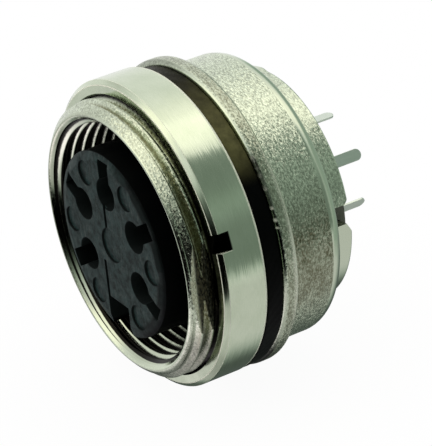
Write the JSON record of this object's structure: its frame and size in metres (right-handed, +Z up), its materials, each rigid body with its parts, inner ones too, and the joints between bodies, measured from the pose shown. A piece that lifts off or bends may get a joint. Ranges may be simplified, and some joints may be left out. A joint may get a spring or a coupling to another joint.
{
  "type": "circular sensor receptacle",
  "caption": "Round panel receptacle for a sensor cable with a screw coupling: threaded cast metal shell, ring nut, panel seal, black keyed contact insert and flat solder tails.",
  "frame": {"origin": "on the connector's axis, in the plane where the flange meets the panel seal", "axes": "-Y points out of the mating face along the axis, +Z is up with the keyway at the bottom, +X is to the right seen from the front"},
  "size_m": [0.02, 0.0168, 0.02],
  "materials": {
    "cast_nickel": "nickel plated blasted zinc die casting",
    "satin_nickel": "satin turned and nickel plated brass",
    "insulator": "matt dark charcoal moulding",
    "seal": "smooth black rubber",
    "tinned": "dull tin plated bronze sheet"
  },
  "bodies": {
    "receptacle": {"shell": "cast_nickel", "panel_seal": "seal", "contact_insert": "insulator", "rear_insulator": "insulator", "contact_1": "tinned", "contact_2": "tinned", "contact_3": "tinned", "contact_4": "tinned", "contact_5": "tinned"},
    "nut": {"ring_nut": "satin_nickel"}
  },
  "joints": [
    {"name": "nut_turn", "type": "hinge", "parent": "receptacle", "child": "nut", "pos_m": [0, 0, 0], "axis": [0, -1, 0], "range_deg": [0, 810]}
  ]
}
